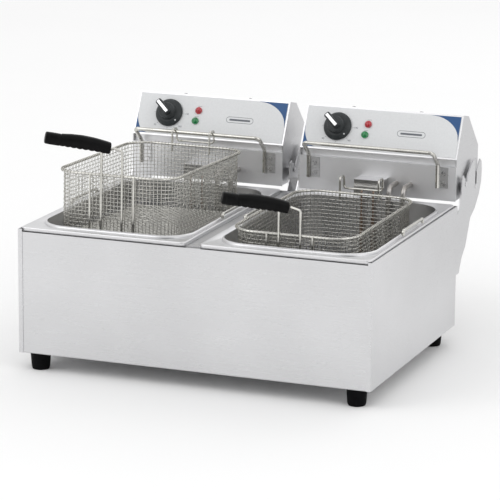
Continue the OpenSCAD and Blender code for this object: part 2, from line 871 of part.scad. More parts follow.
// Safety limiter with its tripping pin behind the head's back
module limiter(side) {
    color(ceramic_white) on_head(side)
        translate([reset_off, head_end - sheet, reset_z]) rotate([90, 0, 0]) difference() {
            union() {
                translate([-17, -14, 6]) cube([34, 28, 26]);
                cylinder(h = 7, r = reset_r + 2);
                translate([0, 0, -sheet - 3]) cylinder(h = sheet + 4, r = reset_r + 2);
            }
            translate([0, 0, -sheet - 4])
                cylinder(h = sheet + 11.5 + reset_travel, r = reset_r + plunger_play);
        }
}

// Reset button that slides in the limiter's collar
module reset_button(side) {
    color(lamp_red) on_head(side)
        translate([reset_off, head_end + reset_travel, reset_z])
            rotate([90, 0, 0]) cylinder(h = 9, r = reset_r);
}

// Thermostat knob: round skirt with a raised pointer bar
module knob(side) {
    color(plastic_black) on_panel(side) translate([-knob_off, knob_up, film_t + 0.5]) difference() {
        union() {
            cylinder(h = 3, r = knob_d / 2);
            translate([0, 0, 3]) cylinder(h = knob_skirt - 3, r1 = knob_d / 2, r2 = knob_d / 2 - 6);
            cylinder(h = knob_h - 8, r = knob_d * 0.29);
            rotate(pointer_turn) translate([-pointer_back, -pointer_w / 2, 0])
                cube([pointer_len, pointer_w, knob_h - insert_t]);
        }
        translate([0, 0, -e]) cylinder(h = 14, r = spindle_r + spindle_play);
    }
}

pointer_turn = 138;
pointer_w = 10.5;
pointer_back = 9;
pointer_len = 31;
insert_t = 0.8;
insert_w = 5;

// Silver insert on the knob's pointer bar
module knob_insert(side) {
    color(bright_steel) on_panel(side)
        translate([-knob_off, knob_up, film_t + 0.5 + knob_h - insert_t])
            rotate(pointer_turn) translate([-pointer_back + 2.5, -insert_w / 2, 0])
                cube([pointer_len - 5, insert_w, insert_t]);
}

// Signal lamp: body behind the panel, flange and domed lens in front
module lamp(side, row, tint) {
    color(tint) on_panel(side)
        translate([lamp_off - knob_off + row * lamp_slant, lamp_mid + row * lamp_pitch, 0]) {
            translate([0, 0, -16]) cylinder(h = 17, r = lamp_d / 2 - 1 - hole_play);
            translate([0, 0, film_t]) cylinder(h = 2, r = lamp_d / 2);
            intersection() {
                translate([0, 0, film_t + 2 - 3.2]) sphere(6.2);
                translate([0, 0, film_t + 2 - e]) cylinder(h = 6, r = lamp_d / 2 - 0.6);
            }
        }
}

// Terminal block on the head's base
module terminal_block(side) {
    color(ceramic_white) on_head(side) difference() {
        translate([gland_off - 28, head_end - 60, head_z + 2 * sheet]) cube([44, 22, 18]);
        for (i = [0 : 3]) {
            translate([gland_off - 22.5 + 11 * i, head_end - 49, head_z + 2 * sheet + 8])
                cylinder(h = 20, r = 2.5);
        }
    }
}

// Cable gland in the head's back; the supply cord passes through its bore
module cable_gland(side) {
    color(plastic_black) on_head(side)
        translate([gland_off, head_end, gland_z]) rotate([90, 0, 0]) difference() {
            union() {
                translate([0, 0, -3]) cylinder(h = 3, r = gland_r + 6);
                translate([0, 0, -gland_len]) cylinder(h = gland_len, r = gland_r + 4);
                cylinder(h = 9, r = gland_r + 3);
                translate([0, 0, sheet]) cylinder(h = 4, r = gland_r + 5.5, $fn = 6);
            }
            translate([0, 0, -gland_len - e]) cylinder(h = gland_len + 9 + 2 * e, r = gland_r);
        }
}

// Screws on the ridge and through the base
module head_screws(side) {
    color(bright_steel) on_head(side) {
        for (x = ridge_screw_x) {
            translate([x, panel_y + panel_lean + top_run / 2, head_z + head_h - top_drop / 2])
                rotate([-atan2(top_drop, top_run), 0, 0]) screw(1.6, 7);
        }
        for (x = [-1, 1], y = [head_y + 14, head_end - 14]) {
            translate([x * (head_w / 2 - 16), y, head_z + sheet]) rotate([180, 0, 0]) screw(1.6, 6);
        }
    }
}

// ---------------------------------------------------------------- baskets

// Places a basket: its own origin is the rim's centre at the back
module basket_place(side) {
    if (side == left) {
        at_origin() translate([-tank_x + hung_shift, bar_y, hung_z + hook_up])
            rotate([-hung_tilt, 0, 0])
                translate([0, hung_rear - bar_y, -hook_up]) children();
    } else {
        at_origin() translate([tank_x + low_shift, basket_rear, rim_level]) children();
    }
}

// Woven wall and base as one thin open tray, just inside the rim's wire
module basket_mesh(side) {
    inset = 2 * rim_r + weld_gap;
    color(wire_steel) basket_place(side) translate([0, -basket_l / 2, -basket_h]) difference() {
        linear_extrude(basket_h)
            round_rect(basket_w - 2 * inset, basket_l - 2 * inset, basket_r - inset);
        translate([0, 0, mesh_t]) linear_extrude(basket_h)
            round_rect(basket_w - 2 * (inset + mesh_t), basket_l - 2 * (inset + mesh_t),
                basket_r - inset - mesh_t);
    }
}

upright_y = -basket_l - hook_r + 0.5;

// Rim, hook wire, uprights and handle legs
module basket_frame(side) {
    w = basket_w / 2 - rim_r;
    d = basket_l - rim_r;
    c = basket_r - rim_r;
    color(wire_steel) basket_place(side) {
        rod([-w + c, -rim_r, 0], [w - c, -rim_r, 0], rim_r);
        rod([-w + c, -d, 0], [w - c, -d, 0], rim_r);
        for (s = [-1, 1]) {
            rod([s * w, -rim_r - c, 0], [s * w, -d + c, 0], rim_r);
            translate([s * (w - c), -rim_r - c, 0])
                rotate_extrude(angle = 90, start = s > 0 ? 0 : 90) translate([c, 0]) circle(rim_r);
            translate([s * (w - c), -d + c, 0])
                rotate_extrude(angle = 90, start = s > 0 ? 270 : 180) translate([c, 0]) circle(rim_r);
        }
        for (s = [-1, 1]) {
            wire([[s * hook_pitch / 2, hook_r - 0.5, -12], [s * hook_pitch / 2, hook_r - 0.5, hook_up],
                [s * hook_pitch / 2, hook_deep, hook_up], [s * hook_pitch / 2, hook_deep, 3],
                [0, hook_deep, 3]], hook_r, wire_bend);
        }
        for (x = [upright_x[0], upright_x[3]]) {
            rod([x, upright_y, 0], [x, upright_y, -basket_h + 12], hook_r);
        }
        handle_legs(hook_r);
    }
}

// Two front uprights that carry on into the grip, as wires of radius r
module handle_legs(r) {
    for (x = [upright_x[1], upright_x[2]]) {
        wire([[x, upright_y, -basket_h + 12], [x, upright_y, leg_rise - 4],
            [grip_side + (x > 0 ? 8 : -10), -basket_l - grip_fwd + 3, leg_rise + 2]], r, wire_bend);
    }
}

// One round section of the grip
module grip_ring(length, r) {
    rotate([0, 90, 0]) cylinder(h = length, r = r, $fn = 32);
}

// Moulded grip at the end of the handle wires
module basket_grip(side) {
    color(plastic_black) basket_place(side) difference() {
        translate([grip_side, -basket_l - grip_fwd, leg_rise + 2])
            rotate([0, 0, 180 + grip_turn]) rotate([0, -grip_lift, 0]) hull() {
                translate([-6, 0, 0]) grip_ring(4, grip_d * 0.42);
                translate([grip_len * 0.55, 0, 1]) grip_ring(4, grip_d * 0.5);
                translate([grip_len - 14, 0, 0]) grip_ring(8, grip_d * 0.42);
            }
        handle_legs(hook_r + weld_gap);
    }
}

// ---------------------------------------------------------------- assembly

casing_shell();
front_panel();
bottom_plate();
top_deck();
feet();
case_screws();
tank(left);  // left_tank
tank(right);  // right_tank
tank_handles();
outer_bracket(left);  // left_bracket
centre_bracket();
outer_bracket(right);  // right_bracket
head_shell(left);  // left_head_shell
head_base(left);  // left_head_base
front_plate(left);  // left_front_plate
control_panel(left);  // left_control_panel
hinge_pins(left);  // left_hinge_pins
hanger_bar(left);  // left_hanger_bar
hanger_brackets(left);  // left_hanger_brackets
hanger_rivets(left);  // left_hanger_rivets
heater(left);  // left_heater
heater_guard(left);  // left_heater_guard
probes(left);  // left_probes
thermostat(left);  // left_thermostat
limiter(left);  // left_limiter
reset_button(left);  // left_reset_button
knob(left);  // left_knob
knob_insert(left);  // left_knob_insert
lamp(left, 0.5, lamp_red);  // left_red_lamp
lamp(left, -0.5, lamp_green);  // left_green_lamp
terminal_block(left);  // left_terminal_block
cable_gland(left);  // left_cable_gland
head_screws(left);  // left_head_screws
head_shell(right);  // right_head_shell
head_base(right);  // right_head_base
front_plate(right);  // right_front_plate
control_panel(right);  // right_control_panel
hinge_pins(right);  // right_hinge_pins
hanger_bar(right);  // right_hanger_bar
hanger_brackets(right);  // right_hanger_brackets
hanger_rivets(right);  // right_hanger_rivets
heater(right);  // right_heater
heater_guard(right);  // right_heater_guard
probes(right);  // right_probes
thermostat(right);  // right_thermostat
limiter(right);  // right_limiter
reset_button(right);  // right_reset_button
knob(right);  // right_knob
knob_insert(right);  // right_knob_insert
lamp(right, 0.5, lamp_red);  // right_red_lamp
lamp(right, -0.5, lamp_green);  // right_green_lamp
terminal_block(right);  // right_terminal_block
cable_gland(right);  // right_cable_gland
head_screws(right);  // right_head_screws
basket_mesh(left);  // left_basket_mesh
basket_frame(left);  // left_basket_frame
basket_grip(left);  // left_basket_grip
basket_mesh(right);  // right_basket_mesh
basket_frame(right);  // right_basket_frame
basket_grip(right);  // right_basket_grip
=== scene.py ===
"""Visible surfaces of a twin countertop deep fryer, built around its CAD frame."""

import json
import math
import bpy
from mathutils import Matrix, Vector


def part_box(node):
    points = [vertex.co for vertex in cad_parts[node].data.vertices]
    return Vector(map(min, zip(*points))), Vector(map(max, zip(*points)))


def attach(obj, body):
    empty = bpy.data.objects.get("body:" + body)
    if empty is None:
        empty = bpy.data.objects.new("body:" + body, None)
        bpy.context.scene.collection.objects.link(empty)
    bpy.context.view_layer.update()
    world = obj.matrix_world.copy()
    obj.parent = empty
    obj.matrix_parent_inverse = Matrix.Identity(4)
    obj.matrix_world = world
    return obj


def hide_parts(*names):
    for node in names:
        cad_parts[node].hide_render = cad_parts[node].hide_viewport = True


bl_info = {
    "name": "Twin Countertop Deep Fryer",
    "version": (1, 0, 0),
    "blender": (4, 5, 0),
    "location": "View3D > Sidebar > Fryer",
    "description": "Builds the visible surfaces of a twin countertop deep fryer around its CAD frame",
    "category": "Object",
}

import bmesh
import bpy
import numpy as np
from bpy.props import FloatProperty, FloatVectorProperty, IntProperty, PointerProperty
from mathutils import Matrix

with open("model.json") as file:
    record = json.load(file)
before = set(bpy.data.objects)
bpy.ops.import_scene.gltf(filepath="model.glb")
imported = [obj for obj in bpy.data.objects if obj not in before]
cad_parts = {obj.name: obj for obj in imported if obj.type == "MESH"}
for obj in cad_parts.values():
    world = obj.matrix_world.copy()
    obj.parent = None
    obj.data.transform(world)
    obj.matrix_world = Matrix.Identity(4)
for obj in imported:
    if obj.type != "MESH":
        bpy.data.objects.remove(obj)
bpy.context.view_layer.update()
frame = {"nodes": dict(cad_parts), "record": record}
SIDES = ("left", "right")
MM = 0.001
WELD = 1e-7  # points closer than this are one
RIM_SKIRT = 0.006  # how far a tank's rim turns down
WALL_START = 0.02  # depth at which a tank's wall runs straight
NEAR_FLOOR = 0.01  # a tank's corners this near its lowest point give the well's outline
LEAST_RADIUS = 0.0005
SKIRT_SLOPE = 41  # degrees, of the knob's cone
INDEX_PLACE = (-0.0200, 0, 0.0063)  # index dot on the knob's cone
DIAL_RADIUS = 0.0262  # of the ring of ticks
PRINT_BEDDING = 0.0001  # how far printing reaches into the film
CAPSULE_PLACE = (0.0515, 0.0335, 0)  # middle of the plain capsule mark
TRAY_WALL = 0.0016  # thickness of the CAD tray's wall
RIM_OFFSET = 0.0028  # from the woven wall out to the rim wire's middle
GRIP_JOINT = 0.765  # share of the grip's length at which its end piece joins
CAMERA_TURN = (21.152, 13.4768, 0.45847)  # degrees: yaw, pitch down and roll
CAMERA_PLACE = (1.6175, -4.20519, 1.2390)


# ---------------------------------------------------------------- surfaces


def grid_faces(rows, cols, closed_rows=False, closed_cols=True):
    """Quads of a grid of rows by cols points, each joining a point to the next row and the next column."""
    r = np.arange(rows if closed_rows else rows - 1)
    c = np.arange(cols if closed_cols else cols - 1)
    r, c = (a.ravel() for a in np.meshgrid(r, c, indexing="ij"))
    r2, c2 = (r + 1) % rows, (c + 1) % cols
    return np.stack([r * cols + c, r2 * cols + c, r2 * cols + c2, r * cols + c2], 1)


def joined(*parts):
    """Several (points, quads, caps) as one, with the face numbers moved along."""
    points, quads, caps, start = [], [], [], 0
    for p, q, c in parts:
        points.append(p)
        quads.append(q + start)
        caps += [np.asarray(face) + start for face in c]
        start += len(p)
    return np.concatenate(points), np.concatenate(quads), caps


def lathe(profile, sides=64):
    """Profile points (radius, height), turned round the Z axis.
    The profile runs from the top's middle outwards and down."""
    r, h = np.asarray(profile, float).T
    a = np.linspace(0, 2 * np.pi, sides, endpoint=False)
    points = np.stack(
        [np.outer(r, np.cos(a)), np.outer(r, np.sin(a)), np.outer(h, np.ones(sides))], -1
    )
    return points.reshape(-1, 3), grid_faces(len(r), sides), []


def stacked(loops):
    """A skin over a stack of loops of equal length, each of shape (n, 3), from the bottom up.
    A flat face closes it at both ends."""
    rows, cols = loops.shape[:2]
    first = np.arange(cols)
    quads = grid_faces(rows, cols)[:, ::-1]
    return loops.reshape(-1, 3), quads, [first[::-1], first + (rows - 1) * cols]


def wires(paths, radius, normal, sides=6, closed=False):
    """Round wires along paths of shape (wires, points, 3). Each ring lies at radius from its path point,
    turned by an angle from the direction across the path to the one square to both."""
    count, length = paths.shape[:2]
    if closed:
        along = np.roll(paths, -1, 1) - np.roll(paths, 1, 1)
    else:
        along = np.gradient(paths, axis=1)
    along = along / np.linalg.norm(along, axis=-1, keepdims=True)
    across = np.cross(along, np.broadcast_to(normal, along.shape))
    across = across / np.linalg.norm(across, axis=-1, keepdims=True)
    square = np.cross(across, along)
    a = np.linspace(0, 2 * np.pi, sides, endpoint=False)[:, None]
    ring = across[:, :, None] * np.cos(a) + square[:, :, None] * np.sin(a)
    points = (paths[:, :, None] + radius * ring).reshape(-1, 3)
    starts = np.arange(count) * length * sides
    quads = grid_faces(length, sides, closed)[None] + starts[:, None, None]
    caps = []
    if not closed:
        first = starts[:, None] + np.arange(sides)
        last = first + (length - 1) * sides
        caps = list(first) + list(last[:, ::-1])
    return points, quads.reshape(-1, 4), caps


def rounded_rect(half_w, half_l, r, per_corner=12, per_side=8):
    """Loop of a rectangle with round corners, anticlockwise from the right side's lower end.
    Its outward directions come with it. Each side is a straight run and each corner a quarter
    circle, and loops of the same counts match point for point."""
    loop, out = [], []
    for k in range(4):
        turn = k * np.pi / 2
        face = np.array([np.cos(turn), np.sin(turn)])
        side = np.array([-np.sin(turn), np.cos(turn)])
        reach, run = (half_w, half_l) if k % 2 == 0 else (half_l, half_w)
        t = np.linspace(-1, 1, per_side, endpoint=False)[:, None]
        loop.append(face * reach + side * t * (run - r))
        out.append(np.broadcast_to(face, (per_side, 2)))
        a = np.linspace(0, np.pi / 2, per_corner, endpoint=False)[:, None]
        ray = face * np.cos(a) + side * np.sin(a)
        loop.append(face * (reach - r) + side * (run - r) + ray * r)
        out.append(ray)
    return np.concatenate(loop), np.concatenate(out)


def spaced(loop, out, count):
    """The same closed loop as count points at equal steps along it, with their outward directions."""
    ends = np.concatenate([loop, loop[:1]])
    rays = np.concatenate([out, out[:1]])
    run = np.concatenate([[0], np.cumsum(np.linalg.norm(np.diff(ends, axis=0), axis=1))])
    at = np.arange(count) * run[-1] / count
    points = np.stack([np.interp(at, run, ends[:, i]) for i in (0, 1)], 1)
    rays = np.stack([np.interp(at, run, rays[:, i]) for i in (0, 1)], 1)
    return points, rays / np.linalg.norm(rays, axis=1, keepdims=True), run[-1]


def flat_shape(outline, middle, low, high):
    """A thin plate: the outline (n, 2) in Z between low and high, its faces fanned from the point middle."""
    n = len(outline)
    rim = np.arange(n)
    after = (rim + 1) % n
    sheets = [np.column_stack([outline, np.full(n, z)]) for z in (low, high)]
    hubs = np.array([[*middle, low], [*middle, high]])
    points = np.concatenate([*sheets, hubs])
    sides = np.stack([rim, after, after + n, rim + n], 1)
    caps = [(2 * n + 1, n + i, n + j) for i, j in zip(rim, after)]
    caps += [(2 * n, j, i) for i, j in zip(rim, after)]
    return points, sides, caps


def placed(shape, origin, axes):
    """A shape moved from its own X, Y, Z to an origin and three axes given as rows."""
    points, quads, caps = shape
    return np.asarray(origin) + points @ np.asarray(axes), quads, caps


def piece(name, shape, finish, body, stands_for=(), crease=40):
    """Makes the mesh object, welds its seams and poles, and ties it to its CAD body and material slot."""
    points, quads, caps = shape
    mesh = bpy.data.meshes.new(name)
    mesh.vertices.add(len(points))
    mesh.vertices.foreach_set("co", points.astype(np.float32).ravel())
    corners = np.concatenate([quads.ravel(), *(np.asarray(c).ravel() for c in caps)])
    counts = np.array([4] * len(quads) + [len(c) for c in caps])
    mesh.loops.add(len(corners))
    mesh.loops.foreach_set("vertex_index", corners.astype(np.int32))
    mesh.polygons.add(len(counts))
    starts = np.concatenate([[0], np.cumsum(counts)[:-1]])
    mesh.polygons.foreach_set("loop_start", starts.astype(np.int32))
    mesh.update(calc_edges=True)
    welded = bmesh.new()
    welded.from_mesh(mesh)
    bmesh.ops.remove_doubles(welded, verts=welded.verts, dist=WELD)
    welded.to_mesh(mesh)
    welded.free()
    mesh.shade_smooth()
    mesh.set_sharp_from_angle(angle=math.radians(crease))
    mesh.materials.append(finish)
    obj = bpy.data.objects.new(name, mesh)
    bpy.context.scene.collection.objects.link(obj)
    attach(obj, body)
    if stands_for:
        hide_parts(*stands_for)
    return obj


# ---------------------------------------------------------------- places read from the frame


def corners_of(node):
    """Every corner of a CAD node, as an (n, 3) array."""
    mesh = frame["nodes"][node].data
    co = np.empty(len(mesh.vertices) * 3)
    mesh.vertices.foreach_get("co", co)
    return co.reshape(-1, 3)


def facing(node, wanted):
    """Direction of the largest flat face of a CAD node that looks roughly the wanted way."""
    mesh = frame["nodes"][node].data
    normals = np.empty(len(mesh.polygons) * 3)
    areas = np.empty(len(mesh.polygons))
    mesh.polygons.foreach_get("normal", normals)
    mesh.polygons.foreach_get("area", areas)
    normals = normals.reshape(-1, 3)
    areas = areas * (normals @ np.asarray(wanted) > 0.8)
    return normals[areas.argmax()]


def local_box(node, axes):
    """Lowest and highest values of a CAD node along three axes."""
    values = corners_of(node) @ np.asarray(axes).T
    return values.min(0), values.max(0)


def panel_place(side):
    """Origin, axes and size of a control film: X across from the head's middle, Y up the slope
    from the film's lower edge, Z out of it from the film's back."""
    node = f"{side}_control_panel"
    out = facing(node, (0, -0.89, 0.45))
    across = np.array([1.0, 0, 0])
    axes = np.stack([across, np.cross(out, across), out])
    low, high = local_box(node, axes)
    origin = np.array([(low[0] + high[0]) / 2, low[1], low[2]]) @ axes
    return origin, axes, (high - low)


def knob_centre(side, origin, axes):
    """Middle of a knob's skirt and the knob's height range, in a control slope's own axes."""
    low, high = local_box(f"{side}_knob", axes)
    at = axes @ origin
    return (low + high) / 2 - at, low - at, high - at


def basket_place(side):
    """Origin, axes and size of a woven tray: X across, Y back, Z up from the rim wire's level,
    at the tray's middle."""
    node = f"{side}_basket_mesh"
    up = facing(node, (0, 0, 1))
    across = np.array([1.0, 0, 0])
    axes = np.stack([across, np.cross(up, across), up])
    low, high = local_box(node, axes)
    middle = (low + high) / 2
    origin = np.array([middle[0], middle[1], high[2]]) @ axes
    return origin, axes, high - low


# ---------------------------------------------------------------- finishes


class Finish:
    """One procedural material: a Principled shader with its nodes and a shorthand for linking them."""

    def __init__(self, name, colour, rough, metal=0.0, **constants):
        self.material = bpy.data.materials.new(name)
        self.material.use_nodes = True
        self.tree = self.material.node_tree
        self.shader = self.tree.nodes["Principled BSDF"]
        self.set(self.shader, {"Base Color": (*colour, 1), "Roughness": rough, "Metallic": metal})
        self.set(self.shader, constants)
        self.place = self.tree.nodes.new("ShaderNodeTexCoord").outputs["Object"]

    def set(self, node, values):
        """Sets input sockets by name."""
        for key, value in values.items():
            node.inputs[key].default_value = value

    def link(self, source, target):
        self.tree.links.new(source, target)

    def noise(self, scale, detail=3.0, rough=0.5, stretch=(1, 1, 1)):
        """Noise over the object's own coordinates, stretched by a factor along each axis."""
        mapping = self.tree.nodes.new("ShaderNodeMapping")
        mapping.inputs["Scale"].default_value = stretch
        self.link(self.place, mapping.inputs["Vector"])
        texture = self.tree.nodes.new("ShaderNodeTexNoise")
        self.set(texture, {"Scale": scale, "Detail": detail, "Roughness": rough})
        self.link(mapping.outputs[0], texture.inputs["Vector"])
        return texture.outputs["Fac"]

    def cells(self, scale):
        """Distance to the nearest cell centre, for grain and facets."""
        texture = self.tree.nodes.new("ShaderNodeTexVoronoi")
        texture.inputs["Scale"].default_value = scale
        self.link(self.place, texture.inputs["Vector"])
        return texture.outputs["Distance"]

    def spread(self, source, low, high, start=0.3, end=0.7):
        """Maps a value from start..end to low..high."""
        node = self.tree.nodes.new("ShaderNodeMapRange")
        values = {"From Min": start, "From Max": end, "To Min": low, "To Max": high}
        self.set(node, values)
        self.link(source, node.inputs["Value"])
        return node.outputs["Result"]

    def height(self, start, end):
        """0 below the height start and 1 above the height end."""
        node = self.tree.nodes.new("ShaderNodeSeparateXYZ")
        self.link(self.place, node.inputs[0])
        return self.spread(node.outputs["Z"], 0, 1, start, end)

    def colours(self, source, stops):
        """Colours the surface by a value through (position, colour) stops."""
        ramp = self.tree.nodes.new("ShaderNodeValToRGB")
        band = ramp.color_ramp
        while len(band.elements) < len(stops):
            band.elements.new(0.5)
        for element, (at, colour) in zip(band.elements, stops):
            element.position = at
            element.color = (*colour, 1)
        self.link(source, ramp.inputs["Fac"])
        self.link(ramp.outputs["Color"], self.shader.inputs["Base Color"])

    def rough(self, source, low, high, start=0.3, end=0.7):
        self.link(self.spread(source, low, high, start, end), self.shader.inputs["Roughness"])

    def bump(self, source, strength, depth):
        """Relief of the given depth in metres from a value."""
        node = self.tree.nodes.new("ShaderNodeBump")
        self.set(node, {"Strength": strength, "Distance": depth})
        self.link(source, node.inputs["Height"])
        self.link(node.outputs["Normal"], self.shader.inputs["Normal"])


def shade(colour, factor):
    return tuple(min(1.0, c * factor) for c in colour)


def brushed(name, colour, low, high, stretch, grain=900.0, depth=0.00002):
    """Stainless sheet: fine brush lines along one axis, faint wiping marks and slight patches of tone."""
    f = Finish(name, colour, low, 1.0)
    lines = f.noise(grain, 4.0, 0.65, stretch)
    patches = f.noise(5.0, 3.0)
    f.colours(patches, [(0.3, shade(colour, 0.94)), (0.7, shade(colour, 1.04))])
    f.rough(lines, low, high)
    f.bump(lines, 0.25, depth)
    return f.material


def wire_finish(name, colour, low, high):
    """Plated wire: smooth, with slight dulling in patches and fine drawing marks."""
    f = Finish(name, colour, low, 1.0)
    f.colours(f.noise(60.0, 3.0), [(0.35, shade(colour, 0.86)), (0.65, colour)])
    marks = f.noise(700.0, 2.0)
    f.rough(marks, low, high)
    f.bump(marks, 0.15, 0.00001)
    return f.material


def moulded(name, colour, low, high, grain=1600.0, depth=0.00004, gloss=0.3):
    """Moulded plastic or rubber: fine leathery grain, uneven gloss and a little dust tone."""
    f = Finish(name, colour, low, **{"Specular IOR Level": gloss})
    f.colours(f.noise(90.0, 3.0), [(0.3, shade(colour, 0.8)), (0.7, shade(colour, 1.25))])
    cells = f.cells(grain)
    f.rough(cells, low, high, 0.1, 0.6)
    f.bump(cells, 0.3, depth)
    return f.material


def printed(name, colour, low=0.28, high=0.36):
    """Printed film: even colour with a faint speckle under a smooth coat."""
    f = Finish(name, colour, low, **{"Specular IOR Level": 0.35})
    f.colours(f.noise(350.0, 2.0), [(0.3, shade(colour, 0.97)), (0.7, shade(colour, 1.02))])
    grain = f.noise(1500.0, 2.0)
    f.rough(grain, low, high)
    f.bump(grain, 0.08, 0.00001)
    return f.material


def lens(name, colour):
    """Clear coloured lens, with small facets moulded inside."""
    constants = {"Transmission Weight": 0.25, "Coat Weight": 0.8, "Coat Roughness": 0.05}
    f = Finish(name, colour, 0.12, **constants)
    cells = f.cells(700.0)
    f.colours(cells, [(0.1, shade(colour, 1.35)), (0.7, shade(colour, 0.6))])
    f.rough(cells, 0.08, 0.2, 0.1, 0.6)
    f.bump(cells, 0.2, 0.0001)
    return f.material


def heated_tube(name, colour, level):
    """Heater sheath: grey steel that turns brown and blue where it runs hot, near the tank's floor."""
    f = Finish(name, colour, 0.3, 1.0)
    warm = f.tree.nodes.new("ShaderNodeMath")
    warm.operation = "MULTIPLY_ADD"
    f.link(f.noise(25.0, 4.0), warm.inputs[0])
    warm.inputs[1].default_value = 0.5
    f.link(f.height(level + 0.06, level), warm.inputs[2])
    stops = [(0.2, colour), (0.6, (0.36, 0.29, 0.22)), (0.95, (0.20, 0.19, 0.24))]
    f.colours(warm.outputs[0], stops)
    grain = f.noise(900.0, 3.0)
    f.rough(grain, 0.22, 0.42)
    f.bump(grain, 0.2, 0.00003)
    return f.material


def finishes(tones):
    """Every finish by the record's slot name."""
    wide, tall, deep = (0.02, 1, 1), (1, 1, 0.02), (1, 0.02, 1)
    heater_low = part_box("left_heater")[0][2]
    return {
        "brushed_casing": brushed("casing_steel", tones.sheet, 0.24, 0.38, wide),
        "plain_sheet": brushed("plain_sheet", shade(tones.sheet, 0.8), 0.34, 0.46, deep),
        "bright_fasteners": wire_finish("screw_steel", shade(tones.sheet, 1.05), 0.18, 0.3),
        "pressed_tank": brushed("tank_steel", shade(tones.sheet, 1.05), 0.3, 0.42, deep),
        "bright_wire": wire_finish("polished_wire", tones.wire, 0.08, 0.16),
        "head_steel": brushed("head_steel", tones.sheet, 0.26, 0.4, deep),
        # Lower plates and heater guard: their base colour is the sheet tone raised by 1.25 and 1.15. This is
        # painted brightness that stands in for the bright reflections they show; their low roughness is
        # their real polish.
        "polished_plate": brushed("polished_plate", shade(tones.sheet, 1.25), 0.42, 0.52, wide),
        "guard_polish": brushed("guard_polish", shade(tones.sheet, 1.15), 0.1, 0.18, wide),
        "printed_panel": printed("panel_film", tones.panel),
        "heater_tube": heated_tube("heater_sheath", (0.5, 0.49, 0.48), heater_low),
        "probe_copper": wire_finish("probe_copper", (0.42, 0.31, 0.25), 0.3, 0.45),
        "control_ceramic": moulded("control_ceramic", (0.8, 0.77, 0.7), 0.5, 0.65),
        "reset_red": moulded("reset_red", (0.55, 0.03, 0.03), 0.3, 0.4),
        "knob_black": moulded("knob_black", tones.knob, 0.3, 0.42, 2200.0, 0.00002),
        "insert_silver": brushed("insert_silver", (0.82, 0.82, 0.83), 0.3, 0.45, tall),
        "lens_red": lens("lens_red", (0.62, 0.012, 0.03)),
        "lens_green": lens("lens_green", (0.0, 0.3, 0.075)),
        "gland_black": moulded("gland_black", (0.03, 0.03, 0.033), 0.45, 0.6),
        "basket_wire": wire_finish("basket_wire", tones.wire, 0.16, 0.28),
        "foot_rubber": moulded("foot_rubber", (0.004, 0.004, 0.0045), 0.5, 0.7, 900.0, 0.00004, 0.05),
        "grip_black": moulded("grip_black", tones.grip, 0.34, 0.46, 1300.0, 0.00005, 0.1),
    }


def finish_of(slot):
    """The finish made for a slot of the record."""
    return bpy.data.materials[bpy.context.scene["fryer_finishes"][slot]]


# ---------------------------------------------------------------- settings


def colour_setting(name, description, default):
    return FloatVectorProperty(
        name=name, description=description, subtype="COLOR", size=3, min=0, max=1, default=default
    )


def length_setting(name, description, default):
    return FloatProperty(
        name=name, description=description, unit="LENGTH", min=0, precision=4, default=default
    )


class FryerFinishSettings(bpy.types.PropertyGroup):
    """Colours of the finishes"""

    sheet: colour_setting("Sheet", "Tone of the stainless sheet", (0.68, 0.68, 0.69))
    wire: colour_setting("Wire", "Tone of the plated wires", (0.66, 0.65, 0.61))
    panel: colour_setting("Panel", "Tone of the control film", (0.70, 0.71, 0.72))
    corner: colour_setting("Corner", "Blue of the film's corners", (0.022, 0.085, 0.23))
    knob: colour_setting("Knob", "Tone of the knobs", (0.03, 0.034, 0.036))
    grip: colour_setting("Grip", "Tone of the basket grips", (0.004, 0.004, 0.0042))


class FryerTankSettings(bpy.types.PropertyGroup):
    """Sizes of the pressed tanks"""

    rim_edge: length_setting("Rim edge", "Radius of the rim's outer edge", 0.0022)
    lip: length_setting("Lip", "Radius where the rim turns down into the well", 0.004)
    well_foot: length_setting("Well foot", "Radius between the well's wall and floor", 0.014)
    rim_corner: length_setting("Rim corner", "Corner radius of the rim's outline", 0.008)
    well_corner: length_setting("Well corner", "Corner radius of the well's outline", 0.046)
    thick: length_setting("Sheet", "Thickness of the tank's sheet", 0.001)


class FryerBasketSettings(bpy.types.PropertyGroup):
    """Sizes of the woven baskets"""

    pitch: length_setting("Pitch", "Distance between neighbouring wires", 0.006)
    wire: length_setting("Wire", "Radius of the woven wires", 0.00055)
    rim: length_setting("Rim", "Radius of the rim's wire", 0.002)
    corner: length_setting("Corner", "Corner radius of the woven wall", 0.0352)
    foot: length_setting("Foot", "Radius between the wall and the base", 0.009)
    sides: IntProperty(name="Sides", description="Sides of a woven wire", min=4, default=5)


class FryerGripSettings(bpy.types.PropertyGroup):
    """Shape of the moulded grips"""

    ridges: IntProperty(name="Ridges", description="Finger ridges underneath", min=1, default=7)
    ridge: length_setting("Ridge", "Height of a finger ridge", 0.0009)
    arch: length_setting("Arch", "Rise of the grip's back", 0.0014)


class FryerControlSettings(bpy.types.PropertyGroup):
    """Sizes of what is printed and fitted on the control slopes"""

    print_height: length_setting("Print", "Thickness of the printing", 0.00008)
    digit: length_setting("Digits", "Height of the dial's numbers", 0.0032)
    index: length_setting("Index", "Radius of the white index dot", 0.0013)


class FryerStageSettings(bpy.types.PropertyGroup):
    """Floor, light and camera"""

    floor: colour_setting("Floor", "Tone of the floor", (0.95, 0.95, 0.95))
    world: FloatProperty(name="World", description="Strength of the even light", default=0.92)
    key: FloatProperty(name="Key", description="Power of the main soft light in watts", default=30)
    card: FloatProperty(name="Card", description="Brightness of the reflection card", default=0.83)
    lens: FloatProperty(name="Lens", description="Focal length in millimetres", default=208.1)


# ---------------------------------------------------------------- operators


